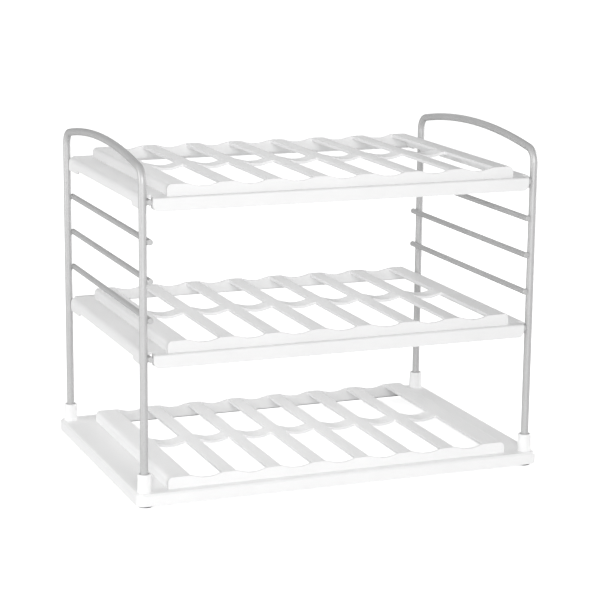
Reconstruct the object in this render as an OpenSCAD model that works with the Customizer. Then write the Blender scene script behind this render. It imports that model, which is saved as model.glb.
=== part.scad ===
// Three-tier bottle drying rack: a drain tray, two wire side frames with rungs
// and two lift-off shelves whose side hooks hang over the rungs.
// X is the width, Y the depth (front is -Y), Z is up. Origin: centre of the
// footprint, on the surface that the feet stand on.

/* [Side frames] */
// Distance between the two side frames, leg centre to leg centre
frame_gap = 342.6; // [340:0.1:345]
// Distance between front and back legs, centre to centre
leg_gap = 224; // [222:0.5:226]
// Diameter of the frame rod
rod_d = 6.35; // [6:0.05:6.5]
// Height of the top of the frame's rod centre line
arch_z = 283.3; // [281:0.1:290]
// Radius of the shallow arch at the top
arch_r = 592; // [500:1:700]
// Bend radius where a leg turns into the arch
bend_r = 12; // [10:0.5:14]
// Diameter of a rung
rung_d = 4.8; // [4.5:0.1:5]
// Height of the lowest rung's centre
rung_low_z = 121.2; // [120:0.1:125]
// Height from one rung to the next
rung_step = 31.55; // [30:0.05:32]
// Length of a rung
rung_l = 230; // [228:0.5:232]

/* [Drain tray] */
// Width of the tray
tray_w = 359.5; // [358:0.5:361]
// Depth of the tray
tray_d = 244; // [243:0.5:246]
// Corner radius of the tray in plan
tray_r = 7; // [6:0.5:9]
// Height of the tray's flat edge above the table
tray_edge_z = 12; // [11.5:0.5:13]
// Height of the top of a leg collar above the table
collar_z = 27; // [25:0.5:30]
// Width of the tray's raised grille
tray_grille_w = 303; // [301:0.5:304]
// Height of the tray's raised grille above the table
tray_grille_z = 21.5; // [21:0.5:22.5]
// Distance between the ribs of the tray
tray_pitch = 39.4; // [39:0.05:39.6]
// Width of an opening in the tray
tray_slot_w = 27; // [26:0.1:28]

/* [Shelves] */
// Width of the shelf's front and back skirts
shelf_w = 328.5; // [327:0.5:329]
// Depth of a shelf
shelf_d = 235.6; // [235.4:0.2:237]
// Height of the shelf's edge above the centre of its rung
shelf_edge_z = 4.8; // [4.8:0.1:5]
// Width of the shelf's raised grille
shelf_grille_w = 303; // [300:0.5:304]
// Height of the shelf's raised grille above the centre of its rung
shelf_grille_z = 13.4; // [12.5:0.1:14]
// Distance between the ribs of a shelf
shelf_pitch = 40.1; // [39.8:0.05:40.3]
// Width of an opening in a shelf
shelf_slot_w = 28; // [27:0.1:29]
// Length of the hooked edge between the legs
hook_l = 215; // [210:0.5:216]

/* [Grille] */
// Thickness of the moulded sheet
wall = 2.4; // [2.2:0.05:2.5]
// Depth of the wave between two ribs
wave_h = 2.6; // [2:0.1:3]
// Width of the flat crest over a rib
crest_w = 8; // [6:0.5:9]
// Openings side by side in each row
slots = 7; // [5:1:7]

/* [Feet] */
// Diameter of a rubber foot
foot_d = 13.4; // [12:0.1:14]
// Height of a rubber foot below the tray
foot_h = 2; // [1.5:0.1:2]

/* [Hidden] */
$fn = 48;
eps = 0.01;

rod_r = rod_d / 2;
rung_r = rung_d / 2;

// Lengths of the frame rod stop this short of a joint, inside a slightly larger ball
joint_trim = 0.1;
joint_r = rod_r + 0.02;

leg_x = frame_gap / 2;
leg_y = leg_gap / 2;

// A rung sits this deep in the notch of its weld with a leg
weld_sink = 0.25;
rung_x = leg_x - rod_r - rung_r + weld_sink;
top_rung = 1;
low_rung = 5;

// Grille rows, common to tray and shelves: front wall, row limits, back wall
grille_front = -113;
grille_back = 99;
row_limits = [[-110.6, -16.5], [0.5, 96.6]];
grille_edge_r = 4;
wave_steps = 12;

// Leg sockets
collar_top_d = 11.2;
collar_low_d = 12.2;
collar_edge = 0.4;
socket_gap = 0.03;
socket_floor = 6;
bead_d = 8.4;
bead_h = 1.4;
bead_drop = 0.2;
bead_gap = 0.05;
foot_x = 170.5;
foot_y = 112;
boss_d = 14.4;
stem_d = 4;
stem_h = 2.2;
stem_gap = 0.03;
foot_edge = 0.5;
tray_edge_r = 1.6;

// Shelf skirts and hooks, heights from the centre of the rung
front_skirt_z = -7.1;
back_skirt_z = -2.7;
skirt_edge_r = 1.6;
skirt_corner_r = 5;
skirt_step = 1;
rung_end_gap = 0.6;
hook_wall = 2.1;
hook_top_gap = 0.1;
hook_low_z = -4.2;
tab_low_z = -7.2;
tab_l = 27;
tab_corner_r = 3;

white = [0.96, 0.96, 0.95];
silver = [0.73, 0.73, 0.73];
rubber = [0.42, 0.42, 0.43];

function rung_z(number) = rung_low_z + (low_rung - number) * rung_step;

// Points of an arc about c, from angle a to angle b
function arc(c, r, a, b, steps) = [
    for (i = [0 : steps]) let (t = a + (b - a) * i / steps) c + r * [cos(t), sin(t)]
];

// Depth of the wave below the crest at u, the distance from an opening's middle
function wave_depth(u, pitch) =
    let (flat = 2, rise = pitch / 2 - crest_w / 2 - flat)
    u <= flat ? wave_h
    : u >= flat + rise ? 0
    : wave_h * (1 + cos(180 * (u - flat) / rise)) / 2;

// The wavy top line of a grille, from its left to its right end
function wave_line(pitch, z) = [
    for (i = [0 : slots * wave_steps])
        let (x = (i / wave_steps - slots / 2) * pitch, n = round(x / pitch))
        [x, z - wave_depth(abs(x - n * pitch), pitch)]
];

// Outline of a grille in XZ: side walls down to low_z, round edges, wavy top
function grille_outline(w, pitch, z, r, low_z) = concat(
    [[-w / 2, low_z]],
    arc([-w / 2 + r, z - r], r, 180, 90, 6),
    wave_line(pitch, z),
    arc([w / 2 - r, z - r], r, 90, 0, 6),
    [[w / 2, low_z]]
);

// Extrudes an XZ outline along Y from y0 to y1
module along_y(y0, y1) {
    translate([0, y1, 0]) rotate([90, 0, 0]) linear_extrude(y1 - y0) children();
}

// Extrudes a YZ outline along X from x0 to x1
module along_x(x0, x1) {
    translate([x0, 0, 0]) rotate([90, 0, 90]) linear_extrude(x1 - x0) children();
}

// Raised hollow grille with two rows of openings, open underneath
module grille(w, pitch, slot_w, z, low_z) {
    inner_r = grille_edge_r - wall;
    difference() {
        along_y(grille_front, grille_back)
            polygon(grille_outline(w, pitch, z, grille_edge_r, low_z));
        along_y(grille_front + wall, grille_back - wall)
            polygon(grille_outline(w - 2 * wall, pitch, z - wall, inner_r, low_z - 1));
        for (row = row_limits, i = [-(slots - 1) / 2 : (slots - 1) / 2])
            translate([i * pitch - slot_w / 2, row[0], z - 2 * wall - wave_h])
                cube([slot_w, row[1] - row[0], 2 * wall + 2 * wave_h]);
    }
}

// Block with round vertical corners and a chamfered top edge
module edge_block(w, d, r, z0, z1, edge) {
    corner = [w / 2 - r, d / 2 - r];
    along_x(-corner[0], corner[0]) polygon([
        [-d / 2, z0], [d / 2, z0], [d / 2, z1 - edge], [d / 2 - edge, z1],
        [-d / 2 + edge, z1], [-d / 2, z1 - edge]
    ]);
    along_y(-corner[1], corner[1]) polygon([
        [-w / 2, z0], [w / 2, z0], [w / 2, z1 - edge], [w / 2 - edge, z1],
        [-w / 2 + edge, z1], [-w / 2, z1 - edge]
    ]);
    for (sx = [-1, 1], sy = [-1, 1]) translate([sx * corner[0], sy * corner[1], 0]) {
        translate([0, 0, z0]) cylinder(r = r, h = z1 - edge - z0);
        translate([0, 0, z1 - edge]) cylinder(r1 = r, r2 = r - edge, h = edge);
    }
}

// Block with round vertical corners
module round_block(w, d, r, z0, z1) {
    translate([-w / 2 + r, -d / 2, z0]) cube([w - 2 * r, d, z1 - z0]);
    translate([-w / 2, -d / 2 + r, z0]) cube([w, d - 2 * r, z1 - z0]);
    for (sx = [-1, 1], sy = [-1, 1])
        translate([sx * (w / 2 - r), sy * (d / 2 - r), z0]) cylinder(r = r, h = z1 - z0);
}

// The inside of a grille, where the flat edge around it is cut away
module grille_well(w, z0, z1) {
    translate([-w / 2 + wall, grille_front + wall, z0])
        cube([w - 2 * wall, grille_back - grille_front - 2 * wall, z1 - z0]);
}

module at_legs() {
    for (sx = [-1, 1], sy = [-1, 1]) translate([sx * leg_x, sy * leg_y, 0]) children();
}

// Drain tray: flat edge with a skirt, raised grille, collars and bosses for the legs
module base_tray() {
    color(white) difference() {
        union() {
            difference() {
                edge_block(tray_w, tray_d, tray_r, foot_h, tray_edge_z, tray_edge_r);
                round_block(tray_w - 2 * wall, tray_d - 2 * wall, tray_r - wall,
                    foot_h - 1, tray_edge_z - wall);
                grille_well(tray_grille_w, foot_h - 1, tray_edge_z + 1);
            }
            grille(tray_grille_w, tray_pitch, tray_slot_w, tray_grille_z, tray_edge_z - wall);
            for (sx = [-1, 1], sy = [-1, 1])
                translate([sx * foot_x, sy * foot_y, foot_h])
                    cylinder(d = boss_d, h = tray_edge_z - foot_h - wall / 2);
            at_legs() translate([0, 0, tray_edge_z - wall / 2]) {
                cylinder(d1 = collar_low_d, d2 = collar_top_d,
                    h = collar_z - collar_edge - tray_edge_z + wall / 2);
                translate([0, 0, collar_z - collar_edge - tray_edge_z + wall / 2])
                    cylinder(d1 = collar_top_d, d2 = collar_top_d - 2 * collar_edge,
                        h = collar_edge);
            }
        }
        at_legs() {
            translate([0, 0, socket_floor])
                cylinder(r = rod_r + socket_gap, h = collar_z);
            translate([0, 0, collar_z - bead_h - bead_drop])
                cylinder(d = bead_d + 2 * bead_gap, h = bead_h + 2 * bead_drop);
        }
        for (sx = [-1, 1], sy = [-1, 1])
            translate([sx * foot_x, sy * foot_y, foot_h - eps])
                cylinder(r = stem_d / 2 + stem_gap, h = stem_h + eps);
    }
}

// Length of rod about the X axis, bent from angle a to angle b round the point y, z
module bent_rod(y, z, r, a, b, fn) {
    trim = asin(joint_trim / r);
    translate([0, y, z]) rotate([90, 0, 90]) rotate([0, 0, a + trim])
        rotate_extrude(angle = b - a - 2 * trim, $fn = fn) translate([r, 0]) circle(rod_r);
}

// Side frame: two legs joined by a shallow arch, each leg with a stop bead.
// The lengths of rod meet inside small ball joints.
module hoop(side) {
    centre_z = arch_z - arch_r;
    bend_y = leg_y - bend_r;
    lean = asin(bend_y / (arch_r - bend_r));
    bend_z = centre_z + (arch_r - bend_r) * cos(lean);
    color(silver) translate([side * leg_x, 0, 0]) {
        for (sy = [-1, 1]) {
            translate([0, sy * leg_y, socket_floor])
                cylinder(r = rod_r, h = bend_z - joint_trim - socket_floor);
            translate([0, sy * leg_y, collar_z - bead_h - bead_drop])
                cylinder(d = bead_d, h = bead_h);
            translate([0, sy * leg_y, bend_z]) sphere(joint_r);
            translate([0, sy * arch_r * sin(lean), centre_z + arch_r * cos(lean)])
                sphere(joint_r);
        }
        bent_rod(bend_y, bend_z, bend_r, 0, 90 - lean, 48);
        bent_rod(-bend_y, bend_z, bend_r, 90 + lean, 180, 48);
        bent_rod(0, centre_z, arch_r, 90 - lean, 90 + lean, 360);
    }
}

// Rung: a straight wire inside a side frame, notched where it meets the legs
module rung(side, number) {
    color(silver) difference() {
        translate([side * rung_x, rung_l / 2, rung_z(number)])
            rotate([90, 0, 0]) cylinder(r = rung_r, h = rung_l);
        for (sy = [-1, 1])
            translate([side * leg_x, sy * leg_y, rung_z(number) - rung_d])
                cylinder(r = rod_r, h = 2 * rung_d);
    }
}

// Section of a hooked edge in XZ on the right: flat top, round shoulder, drop wall
function hook_section(low_z) =
    let (outer_r = shelf_edge_z, inner_r = outer_r - hook_wall,
        roof = rung_r + hook_top_gap, inner_c = [rung_x, roof - inner_r])
    concat(
        [[shelf_grille_w / 2 - wall, roof], [shelf_grille_w / 2 - wall, shelf_edge_z]],
        arc([rung_x, 0], outer_r, 90, 0, 10),
        [[rung_x + outer_r, low_z], [rung_x + inner_r, low_z]],
        arc(inner_c, inner_r, 0, 90, 10)
    );

// One hooked edge with its two deeper end tabs; side is -1 on the left
module hook(side) {
    wall_x = rung_x + shelf_edge_z - hook_wall;
    mirror([side < 0 ? 1 : 0, 0, 0]) {
        along_y(-hook_l / 2, hook_l / 2) polygon(hook_section(hook_low_z));
        for (sy = [-1, 1]) mirror([0, sy < 0 ? 1 : 0, 0])
            along_x(wall_x, wall_x + hook_wall) {
                translate([hook_l / 2 - tab_l, tab_low_z + tab_corner_r])
                    square([tab_l, hook_low_z + eps - tab_low_z - tab_corner_r]);
                translate([hook_l / 2 - tab_l + tab_corner_r, tab_low_z])
                    square([tab_l - 2 * tab_corner_r, tab_corner_r]);
                for (y = [hook_l / 2 - tab_l + tab_corner_r, hook_l / 2 - tab_corner_r])
                    translate([y, tab_low_z + tab_corner_r]) circle(tab_corner_r);
            }
    }
}

// Section of a shelf's edge in YZ, without the hooks: the ledge steps down a little
// to its round front and back shoulders
function shelf_section() =
    let (y = shelf_d / 2, r = skirt_edge_r, z = shelf_edge_z - skirt_step)
    concat(
        [[-y, front_skirt_z]],
        arc([-y + r, z - r], r, 180, 90, 6),
        [[grille_front, z], [-hook_l / 2, shelf_edge_z]],
        [[hook_l / 2, shelf_edge_z], [-grille_front, z]],
        arc([y - r, z - r], r, 90, 0, 6),
        [[y, back_skirt_z]],
        [[hook_l / 2, back_skirt_z], [-hook_l / 2, front_skirt_z]]
    );

// Ledge of a shelf with its skirts, hollow underneath and open at the sides.
// Behind the skirts it stops short of the rungs' ends.
module shelf_edge() {
    x = shelf_w / 2;
    y = shelf_d / 2;
    r = skirt_corner_r;
    ledge_x = rung_x - rung_r - rung_end_gap;
    corner_l = shelf_d - hook_l;
    difference() {
        along_x(-x, x) polygon(shelf_section());
        along_x(-ledge_x + wall, ledge_x - wall)
            translate([-y + wall, front_skirt_z - 1])
                square([2 * (y - wall), shelf_edge_z - skirt_step - wall - front_skirt_z + 1]);
        translate([-x - 1, -hook_l / 2, front_skirt_z - 1])
            cube([2 * x + 2, hook_l, rung_r + hook_top_gap - front_skirt_z + 1]);
        for (sx = [-1, 1]) {
            mirror([sx < 0 ? 1 : 0, 0, 0]) translate([ledge_x, -y + wall, front_skirt_z - 1])
                cube([x, 2 * (y - wall), shelf_edge_z - front_skirt_z + 2]);
            translate([sx * (x - r / 2), -y, front_skirt_z + r / 2]) difference() {
                cube([r + eps, corner_l, r + eps], center = true);
                translate([-sx * r / 2, 0, r / 2]) rotate([90, 0, 0])
                    cylinder(r = r, h = 2 * corner_l, center = true);
            }
        }
    }
}

// Shelf whose rung is number: hooks, ledge and raised grille
module shelf(number) {
    color(white) translate([0, 0, rung_z(number)]) {
        difference() {
            union() {
                shelf_edge();
                hook(-1);
                hook(1);
            }
            grille_well(shelf_grille_w, front_skirt_z - 1, shelf_edge_z + 1);
        }
        grille(shelf_grille_w, shelf_pitch, shelf_slot_w, shelf_grille_z, shelf_edge_z - wall);
    }
}

// Rubber foot: a pad with a softened edge and a stem that plugs into the boss
module foot(sx, sy) {
    color(rubber) translate([sx * foot_x, sy * foot_y, 0]) {
        cylinder(d1 = foot_d - 2 * foot_edge, d2 = foot_d, h = foot_edge);
        translate([0, 0, foot_edge]) cylinder(d = foot_d, h = foot_h - foot_edge);
        translate([0, 0, foot_h - eps]) cylinder(d = stem_d, h = stem_h + eps - stem_gap);
    }
}

module left_hoop() { hoop(-1); }
module right_hoop() { hoop(1); }
module left_rung_1() { rung(-1, 1); }
module left_rung_2() { rung(-1, 2); }
module left_rung_3() { rung(-1, 3); }
module left_rung_4() { rung(-1, 4); }
module left_rung_5() { rung(-1, 5); }
module right_rung_1() { rung(1, 1); }
module right_rung_2() { rung(1, 2); }
module right_rung_3() { rung(1, 3); }
module right_rung_4() { rung(1, 4); }
module right_rung_5() { rung(1, 5); }
module top_shelf() { shelf(top_rung); }
module middle_shelf() { shelf(low_rung); }
module foot_front_left() { foot(-1, -1); }
module foot_front_right() { foot(1, -1); }
module foot_back_left() { foot(-1, 1); }
module foot_back_right() { foot(1, 1); }

base_tray();
left_hoop();
right_hoop();
left_rung_1();
left_rung_2();
left_rung_3();
left_rung_4();
left_rung_5();
right_rung_1();
right_rung_2();
right_rung_3();
right_rung_4();
right_rung_5();
top_shelf();
middle_shelf();
foot_front_left();
foot_front_right();
foot_back_left();
foot_back_right();
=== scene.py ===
"""Looks of the bottle drying rack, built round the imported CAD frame. Metres, +Z up, front is -Y."""

import math

import bmesh
import bpy
from mathutils import Matrix, Vector, noise


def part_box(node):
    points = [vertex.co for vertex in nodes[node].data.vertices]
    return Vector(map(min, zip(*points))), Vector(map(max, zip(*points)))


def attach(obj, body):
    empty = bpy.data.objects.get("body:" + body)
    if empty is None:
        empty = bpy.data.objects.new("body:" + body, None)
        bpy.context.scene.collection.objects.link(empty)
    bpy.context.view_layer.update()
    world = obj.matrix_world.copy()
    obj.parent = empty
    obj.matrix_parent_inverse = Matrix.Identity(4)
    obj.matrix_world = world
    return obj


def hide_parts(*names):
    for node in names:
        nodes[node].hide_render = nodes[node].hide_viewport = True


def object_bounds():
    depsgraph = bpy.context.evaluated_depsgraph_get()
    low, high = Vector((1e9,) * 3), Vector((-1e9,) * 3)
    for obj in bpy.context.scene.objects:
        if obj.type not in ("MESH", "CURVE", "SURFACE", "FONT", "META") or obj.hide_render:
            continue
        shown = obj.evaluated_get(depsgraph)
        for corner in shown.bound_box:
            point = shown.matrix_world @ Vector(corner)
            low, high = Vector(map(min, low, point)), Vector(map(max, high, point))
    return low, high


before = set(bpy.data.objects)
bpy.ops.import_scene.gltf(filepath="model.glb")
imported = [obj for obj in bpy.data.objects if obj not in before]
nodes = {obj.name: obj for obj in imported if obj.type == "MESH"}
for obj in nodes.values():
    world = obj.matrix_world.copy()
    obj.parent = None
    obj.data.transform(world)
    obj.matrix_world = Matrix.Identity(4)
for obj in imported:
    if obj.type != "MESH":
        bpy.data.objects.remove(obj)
cad_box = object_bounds()

MM = 0.001
SIDES = {"left": -1, "right": 1}
ENDS = {"front": -1, "back": 1}
RUNGS = range(1, 6)

# Frame rod and the bead round it inside a collar, which is the hoop's widest part
ROD_R = 3.175 * MM
BEAD_R = 4.2 * MM

# Half sizes of a weld nugget in mm, and how far its centre is outside the leg
NUGGET_X = 1.25
NUGGET_Y = 2.7
NUGGET_Z = 2.5
NUGGET_OUT = 0.1 * MM
# Its lumps: how tall, how close together, and how fast they change from weld to weld
LUMP_HEIGHT = 0.12
LUMP_SCALE = 1.6
LUMP_SPREAD = 400

# Feet, in mm: height of the moulded body, the hollow between its grip rings, and its round edges
FOOT_HEIGHT = 2.0
FOOT_HOLLOW = 0.3
FOOT_ROUND = 0.3

# Mould edges: radius and the least angle that gets one, for plastic and for cut wire
PLASTIC_EDGE = (1.0 * MM, 28)
WIRE_EDGE = (0.5 * MM, 40)
# Points closer than this are one point, before the rounding and after it
SAME_POINT = 0.002 * MM
SLIVER = 0.005 * MM
# Faces that meet at less than this many degrees are one flat face
FLAT_ANGLE = 0.6

# Strength of the studio's even light, and of the light that the floor sends up
AMBIENT = 0.43
FLOOR_GLOW = 0.275
# The floor's glow and the backdrop's strength, as the camera's own rays meet them
FLOOR_SEEN = 0.9
BACKDROP_SEEN = 1.0
# The floor inside this box glows up through the slots of the grilles; under the rest of the tray its
# glow is left out, a painted shade under the tray's ledges and skirt
SLOTS_HALF_X = 0.14
SLOTS_HALF_Y = 0.09

# Softboxes: place and watts, all square and facing the middle of the rack
LIGHTS = {
    "front": ((-0.5, -1.65, 0.65), 16),
    "left": ((-1.6, 0.1, 0.5), 8.4),
    "right": ((1.6, 0.2, 0.35), 11.5),
    "back": ((0.4, 1.5, 0.9), 2.3),
}
LIGHT_SIZE = 0.8
LIGHT_TARGET = (0, 0, 0.12)
FLOOR_HALF = 40

# Camera: place, the degrees it is turned to the right, tilted down and rolled, and its lens in mm
CAMERA_PLACE = (-0.6256, -1.5899, 0.5134)
CAMERA_TURN = 21.667
CAMERA_TILT = 12.527
CAMERA_ROLL = 0.579
CAMERA_LENS = 120.455


# ---------------------------------------------------------------- materials

def new_material(name):
    """A node material, its tree, and its Principled shader."""
    mat = bpy.data.materials.new(name)
    mat.use_nodes = True
    tree = mat.node_tree
    return mat, tree, tree.nodes["Principled BSDF"]


def noise_node(tree, scale, detail, roughness=0.5):
    """Noise in object space, with scale in features per metre."""
    place = tree.nodes.new("ShaderNodeTexCoord")
    node = tree.nodes.new("ShaderNodeTexNoise")
    node.inputs["Scale"].default_value = scale
    node.inputs["Detail"].default_value = detail
    node.inputs["Roughness"].default_value = roughness
    tree.links.new(place.outputs["Object"], node.inputs["Vector"])
    return node


def ramp_node(tree, source, stops):
    """Colour ramp from (position, grey or colour) stops."""
    ramp = tree.nodes.new("ShaderNodeValToRGB")
    tree.links.new(source, ramp.inputs["Fac"])
    for element, (at, colour) in zip(ramp.color_ramp.elements, stops):
        element.position = at
        element.color = (*colour, 1) if isinstance(colour, tuple) else (colour, colour, colour, 1)
    return ramp


def range_node(tree, source, low, high):
    """Maps a 0 to 1 value on to low to high."""
    node = tree.nodes.new("ShaderNodeMapRange")
    tree.links.new(source, node.inputs["Value"])
    node.inputs["To Min"].default_value = low
    node.inputs["To Max"].default_value = high
    return node.outputs["Result"]


def math_node(tree, operation, *values):
    """The output of a Math node on numbers or outputs."""
    node = tree.nodes.new("ShaderNodeMath")
    node.operation = operation
    for socket, value in zip(node.inputs, values):
        if isinstance(value, (int, float)):
            socket.default_value = value
        else:
            tree.links.new(value, socket)
    return node.outputs[0]


def add_bump(tree, shader, heights):
    """Chains bump layers: (height output, strength, distance in metres)."""
    normal = None
    for height, strength, distance in heights:
        bump = tree.nodes.new("ShaderNodeBump")
        bump.inputs["Strength"].default_value = strength
        bump.inputs["Distance"].default_value = distance
        tree.links.new(height, bump.inputs["Height"])
        if normal is not None:
            tree.links.new(normal, bump.inputs["Normal"])
        normal = bump.outputs["Normal"]
    tree.links.new(normal, shader.inputs["Normal"])


def white_plastic(name, white):
    """Moulded polypropylene: clouded white, satin, with a fine spark-eroded grain and slow sink. Its
    white level differs between copies only as painted light and shade.
    """
    mat, tree, shader = new_material(name)
    cloud = noise_node(tree, scale=18, detail=4)
    tint = ramp_node(tree, cloud.outputs["Fac"], [(0.3, white - 0.012), (0.7, white + 0.012)])
    tree.links.new(tint.outputs["Color"], shader.inputs["Base Color"])
    grain = noise_node(tree, scale=2600, detail=2)
    flow = noise_node(tree, scale=60, detail=2)
    rough = range_node(tree, flow.outputs["Fac"], low=0.3, high=0.44)
    tree.links.new(rough, shader.inputs["Roughness"])
    add_bump(tree, shader, [(flow.outputs["Fac"], 0.12, 0.0006), (grain.outputs["Fac"], 0.12, 0.00008)])
    shader.inputs["IOR"].default_value = 1.49
    shader.inputs["Subsurface Weight"].default_value = 0.06
    shader.inputs["Subsurface Radius"].default_value = (0.002, 0.002, 0.002)
    return mat


def silver_paint():
    """Satin powder coat over wire: silver-grey with metal flakes and orange peel."""
    mat, tree, shader = new_material("silver_paint")
    flakes = noise_node(tree, scale=5200, detail=1)
    drift = noise_node(tree, scale=35, detail=3)
    speck = ramp_node(tree, flakes.outputs["Fac"], [(0.38, 0.53), (0.66, 0.69)])
    tone = ramp_node(tree, drift.outputs["Fac"], [(0.3, 0.94), (0.7, 1.0)])
    blend = tree.nodes.new("ShaderNodeMix")
    blend.data_type = "RGBA"
    blend.blend_type = "MULTIPLY"
    blend.inputs["Factor"].default_value = 1
    tree.links.new(speck.outputs["Color"], blend.inputs[6])
    tree.links.new(tone.outputs["Color"], blend.inputs[7])
    tree.links.new(blend.outputs[2], shader.inputs["Base Color"])
    shader.inputs["Metallic"].default_value = 0.35
    shader.inputs["Specular IOR Level"].default_value = 0.3
    shader.inputs["Specular Tint"].default_value = (0.2, 0.2, 0.2, 1)
    peel = noise_node(tree, scale=900, detail=2)
    rough = range_node(tree, peel.outputs["Fac"], low=0.4, high=0.54)
    tree.links.new(rough, shader.inputs["Roughness"])
    add_bump(tree, shader, [(peel.outputs["Fac"], 0.2, 0.00015), (flakes.outputs["Fac"], 0.1, 0.00003)])
    return mat


def grey_rubber():
    """Moulded rubber: matte dark grey with a fine pebbled skin and paler scuffs."""
    mat, tree, shader = new_material("grey_rubber")
    scuff = noise_node(tree, scale=240, detail=5, roughness=0.65)
    clean, scuffed = (0.022, 0.022, 0.024), (0.05, 0.05, 0.052)
    tint = ramp_node(tree, scuff.outputs["Fac"], [(0.35, clean), (0.75, scuffed)])
    tree.links.new(tint.outputs["Color"], shader.inputs["Base Color"])
    pebble = noise_node(tree, scale=3000, detail=2)
    rough = range_node(tree, scuff.outputs["Fac"], low=0.68, high=0.9)
    tree.links.new(rough, shader.inputs["Roughness"])
    add_bump(tree, shader, [(pebble.outputs["Fac"], 0.4, 0.0001)])
    return mat


# One white plastic in two copies: the tray's is painted lighter and the shelves' is painted darker,
# standing in for how light falls on the levels
MATERIALS = {
    "white_plastic": white_plastic("shelf_plastic_painted_darker", 0.86),
    "tray_plastic_painted_lighter": white_plastic("tray_plastic_painted_lighter", 0.94),
    "silver_paint": silver_paint(),
    "grey_rubber": grey_rubber(),
}


def paint(obj, material):
    """Gives every face of obj that material."""
    if not obj.material_slots:
        obj.data.materials.append(MATERIALS[material])
    for slot in obj.material_slots:
        slot.material = MATERIALS[material]


# ---------------------------------------------------------------- modifiers on CAD nodes

def smooth_group():
    """A node group that shades a mesh smooth and leaves its points alone."""
    group = bpy.data.node_groups.new("shade_smooth", "GeometryNodeTree")
    group.interface.new_socket("Geometry", in_out="INPUT", socket_type="NodeSocketGeometry")
    group.interface.new_socket("Geometry", in_out="OUTPUT", socket_type="NodeSocketGeometry")
    start = group.nodes.new("NodeGroupInput")
    shade = group.nodes.new("GeometryNodeSetShadeSmooth")
    end = group.nodes.new("NodeGroupOutput")
    group.links.new(start.outputs[0], shade.inputs[0])
    group.links.new(shade.outputs[0], end.inputs[0])
    return group


SMOOTH = smooth_group()


def soften(obj, edge, sharp_angle):
    """Rounds the sharp edges of a CAD node as a mould does, with flat faces kept flat."""
    weld = obj.modifiers.new("weld", "WELD")
    weld.merge_threshold = SAME_POINT
    planar = obj.modifiers.new("planar", "DECIMATE")
    planar.decimate_type = "DISSOLVE"
    planar.angle_limit = math.radians(FLAT_ANGLE)
    shade = obj.modifiers.new("shade", "NODES")
    shade.node_group = SMOOTH
    bevel = obj.modifiers.new("bevel", "BEVEL")
    bevel.width = edge
    bevel.segments = 3
    bevel.limit_method = "ANGLE"
    bevel.angle_limit = math.radians(sharp_angle)
    bevel.use_clamp_overlap = True
    bevel.miter_outer = "MITER_ARC"
    slivers = obj.modifiers.new("slivers", "WELD")
    slivers.merge_threshold = SLIVER
    normals = obj.modifiers.new("normals", "WEIGHTED_NORMAL")
    normals.keep_sharp = False
    normals.weight = 50


# The tray gets the plastic with painted light, the shelves the plastic with painted shade
for name in ("base_tray", "top_shelf", "middle_shelf"):
    paint(nodes[name], "tray_plastic_painted_lighter" if name == "base_tray" else "white_plastic")
    soften(nodes[name], *PLASTIC_EDGE)

for side in SIDES:
    paint(nodes[f"{side}_hoop"], "silver_paint")
    for number in RUNGS:
        paint(nodes[f"{side}_rung_{number}"], "silver_paint")
        soften(nodes[f"{side}_rung_{number}"], *WIRE_EDGE)


# ---------------------------------------------------------------- pieces

def new_piece(name, mesh, body, slot_name):
    """Turns a bmesh into a smooth piece that rides on a body and has its slot's material."""
    bmesh.ops.recalc_face_normals(mesh, faces=mesh.faces)
    for face in mesh.faces:
        face.smooth = True
    data = bpy.data.meshes.new(name)
    mesh.to_mesh(data)
    mesh.free()
    piece = bpy.data.objects.new(name, data)
    bpy.context.scene.collection.objects.link(piece)
    paint(piece, slot_name)
    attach(piece, body)
    return piece


def rung_welds(side):
    """The small squeezed-out nuggets where a side frame's five rungs are welded to its two legs."""
    low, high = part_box(f"{side}_hoop")
    leg_x = (low.x + high.x) / 2
    weld_x = leg_x - SIDES[side] * (ROD_R + NUGGET_OUT)
    mesh = bmesh.new()
    for number in RUNGS:
        rung_low, rung_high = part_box(f"{side}_rung_{number}")
        for end in ENDS.values():
            centre = Vector((weld_x, end * (high.y - BEAD_R), (rung_low.z + rung_high.z) / 2))
            made = bmesh.ops.create_icosphere(mesh, subdivisions=3, radius=1)
            for vert in made["verts"]:
                spot = Vector(vert.co)
                bulge = 1 + LUMP_HEIGHT * noise.noise(spot * LUMP_SCALE + centre * LUMP_SPREAD)
                nugget = Vector((NUGGET_X * spot.x, NUGGET_Y * spot.y, NUGGET_Z * spot.z)) * MM
                vert.co = centre + nugget * bulge
    new_piece(f"{side}_rung_welds", mesh, "rack", "silver_paint")


def lathe(profile, centre, steps=64):
    """A closed solid of revolution about a vertical axis, from (radius, height) points in mm."""
    mesh = bmesh.new()
    rings = []
    for radius, height in profile:
        place = centre + Vector((0, 0, height * MM))
        if radius == 0:
            rings.append([mesh.verts.new(place)])
            continue
        ring = []
        for step in range(steps):
            turn = 2 * math.pi * step / steps
            spoke = Vector((math.cos(turn), math.sin(turn), 0))
            ring.append(mesh.verts.new(place + spoke * radius * MM))
        rings.append(ring)
    for inner, outer in zip(rings, rings[1:]):
        for step in range(steps):
            after = (step + 1) % steps
            corners = [inner[step % len(inner)], outer[step % len(outer)],
                       outer[after % len(outer)], inner[after % len(inner)]]
            mesh.faces.new(list(dict.fromkeys(corners)))
    return mesh


def quarter(radius, height, size, start, steps=4):
    """Points of a quarter round about (radius, height), from the angle start in degrees."""
    angles = [math.radians(start + 90 * step / steps) for step in range(steps + 1)]
    return [(radius + size * math.cos(a), height + size * math.sin(a)) for a in angles]


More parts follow.
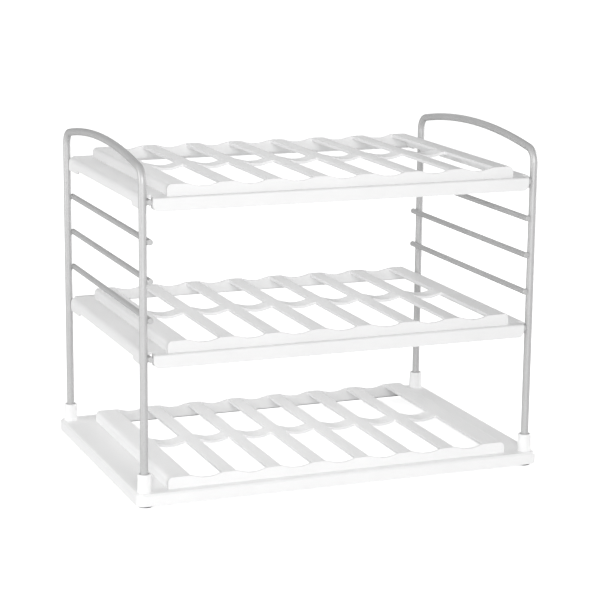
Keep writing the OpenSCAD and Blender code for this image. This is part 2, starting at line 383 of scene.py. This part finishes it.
def foot_profile(radius, height):
    """Half section of a foot: cupped underside, two grip rings, round shoulders and a stem."""
    cup = [(0, 0.7), (2.2, 0.7), (3.0, 0.55), (radius - 2.9, FOOT_HOLLOW)]
    grip = []
    for ring in (radius - 2.3, radius - 1.5):
        grip += [
            (ring - 0.25, FOOT_HOLLOW),
            (ring - 0.1, 0.0),
            (ring + 0.25, 0.0),
            (ring + 0.4, FOOT_HOLLOW),
        ]
    rim = [(radius - 1.0, FOOT_HOLLOW), (radius - 0.85, 0.0)]
    lower_round = quarter(radius - FOOT_ROUND, FOOT_ROUND, FOOT_ROUND, -90)
    upper_round = quarter(radius - FOOT_ROUND, height - FOOT_ROUND, FOOT_ROUND, 0)
    stem = [(2.0, height), (2.0, height + 2.0), (1.7, height + 2.15), (0, height + 2.15)]
    return cup + grip + rim + lower_round + upper_round + stem


def foot_pad(node):
    """A moulded rubber foot that plugs into the tray's corner boss."""
    low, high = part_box(node)
    centre = Vector(((low.x + high.x) / 2, (low.y + high.y) / 2, low.z))
    mesh = lathe(foot_profile((high.x - low.x) / 2 / MM, FOOT_HEIGHT), centre)
    piece = new_piece(node.replace("foot", "foot_pad"), mesh, "rack", "grey_rubber")
    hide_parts(node)


for side in SIDES:
    rung_welds(side)
    for end in ENDS:
        paint(nodes[f"foot_{end}_{side}"], "grey_rubber")
        foot_pad(f"foot_{end}_{side}")


# ---------------------------------------------------------------- floor, light and camera

def seen_or_lit(tree, lit, seen):
    """One value, seen, for the camera's own rays, and another, lit, for all other rays."""
    path = tree.nodes.new("ShaderNodeLightPath")
    mix = tree.nodes.new("ShaderNodeMix")
    mix.data_type = "FLOAT"
    tree.links.new(path.outputs["Is Camera Ray"], mix.inputs["Factor"])
    for socket, value in ((mix.inputs["A"], lit), (mix.inputs["B"], seen)):
        if isinstance(value, float):
            socket.default_value = value
        else:
            tree.links.new(value, socket)
    return mix.outputs["Result"]


def outside_box(tree, half_x, half_y):
    """One beyond a rectangle about the origin and zero inside it."""
    place = tree.nodes.new("ShaderNodeTexCoord")
    size = tree.nodes.new("ShaderNodeVectorMath")
    size.operation = "ABSOLUTE"
    tree.links.new(place.outputs["Object"], size.inputs[0])
    parts = tree.nodes.new("ShaderNodeSeparateXYZ")
    tree.links.new(size.outputs["Vector"], parts.inputs["Vector"])
    return math_node(
        tree,
        "MAXIMUM",
        math_node(tree, "GREATER_THAN", parts.outputs["X"], half_x),
        math_node(tree, "GREATER_THAN", parts.outputs["Y"], half_y),
    )


def stage_floor():
    """A large pale floor, white to the camera, that glows round the rack and below the slots. Under the
    rest of the tray its glow is left out, a painted shade under the tray's ledges and skirt.
    """
    mesh = bmesh.new()
    bmesh.ops.create_grid(mesh, x_segments=8, y_segments=8, size=FLOOR_HALF)
    data = bpy.data.meshes.new("floor")
    mesh.to_mesh(data)
    mesh.free()
    floor = bpy.data.objects.new("floor", data)
    bpy.context.scene.collection.objects.link(floor)
    mat, tree, shader = new_material("floor")
    haze = noise_node(tree, scale=3, detail=2)
    tint = ramp_node(tree, haze.outputs["Fac"], [(0.0, 0.54), (1.0, 0.56)])
    tree.links.new(tint.outputs["Color"], shader.inputs["Base Color"])
    shader.inputs["Roughness"].default_value = 0.9
    shader.inputs["Specular IOR Level"].default_value = 0.0
    shader.inputs["Emission Color"].default_value = (1, 1, 1, 1)
    # Painted shade: no glow under the tray except below its slots, so the tray's ledges and skirt go
    # dark from below
    open_floor = outside_box(tree, cad_box[1][0], cad_box[1][1])
    slots = math_node(tree, "SUBTRACT", 1, outside_box(tree, SLOTS_HALF_X, SLOTS_HALF_Y))
    glow_with_painted_shade = math_node(tree, "MULTIPLY", math_node(tree, "MAXIMUM", open_floor, slots), FLOOR_GLOW)
    tree.links.new(seen_or_lit(tree, glow_with_painted_shade, FLOOR_SEEN), shader.inputs["Emission Strength"])
    data.materials.append(mat)


def studio_world():
    """Even light from all round, and a white backdrop."""
    world = bpy.data.worlds.new("studio")
    bpy.context.scene.world = world
    world.use_nodes = True
    tree = world.node_tree
    background = tree.nodes["Background"]
    background.inputs["Color"].default_value = (1, 1, 1, 1)
    tree.links.new(seen_or_lit(tree, AMBIENT, BACKDROP_SEEN), background.inputs["Strength"])


def soft_light(name, place, watts):
    """A large square softbox that faces the middle of the rack."""
    data = bpy.data.lights.new(name, "AREA")
    data.shape = "SQUARE"
    data.size = LIGHT_SIZE
    data.energy = watts
    lamp = bpy.data.objects.new(name, data)
    bpy.context.scene.collection.objects.link(lamp)
    lamp.location = place
    lamp.rotation_mode = "QUATERNION"
    lamp.rotation_quaternion = (Vector(LIGHT_TARGET) - Vector(place)).to_track_quat("-Z", "Y")


def photo_camera():
    """Long lens a little above the rack, looking down on it from its front left."""
    turn = math.radians(CAMERA_TURN)
    tilt = math.radians(CAMERA_TILT)
    roll = math.radians(CAMERA_ROLL)
    level = math.cos(tilt)
    ahead = Vector((math.sin(turn) * level, math.cos(turn) * level, -math.sin(tilt)))
    data = bpy.data.cameras.new("camera")
    data.sensor_width = 36
    data.lens = CAMERA_LENS
    data.clip_start = 0.05
    data.clip_end = 200
    camera = bpy.data.objects.new("camera", data)
    bpy.context.scene.collection.objects.link(camera)
    camera.location = CAMERA_PLACE
    camera.rotation_mode = "QUATERNION"
    rolled = Matrix.Rotation(roll, 3, "Z").to_quaternion()
    camera.rotation_quaternion = ahead.to_track_quat("-Z", "Y") @ rolled
    bpy.context.scene.camera = camera


stage_floor()
studio_world()
for name, (place, watts) in LIGHTS.items():
    soft_light(name, place, watts)
photo_camera()
bpy.context.scene.view_settings.view_transform = "Standard"
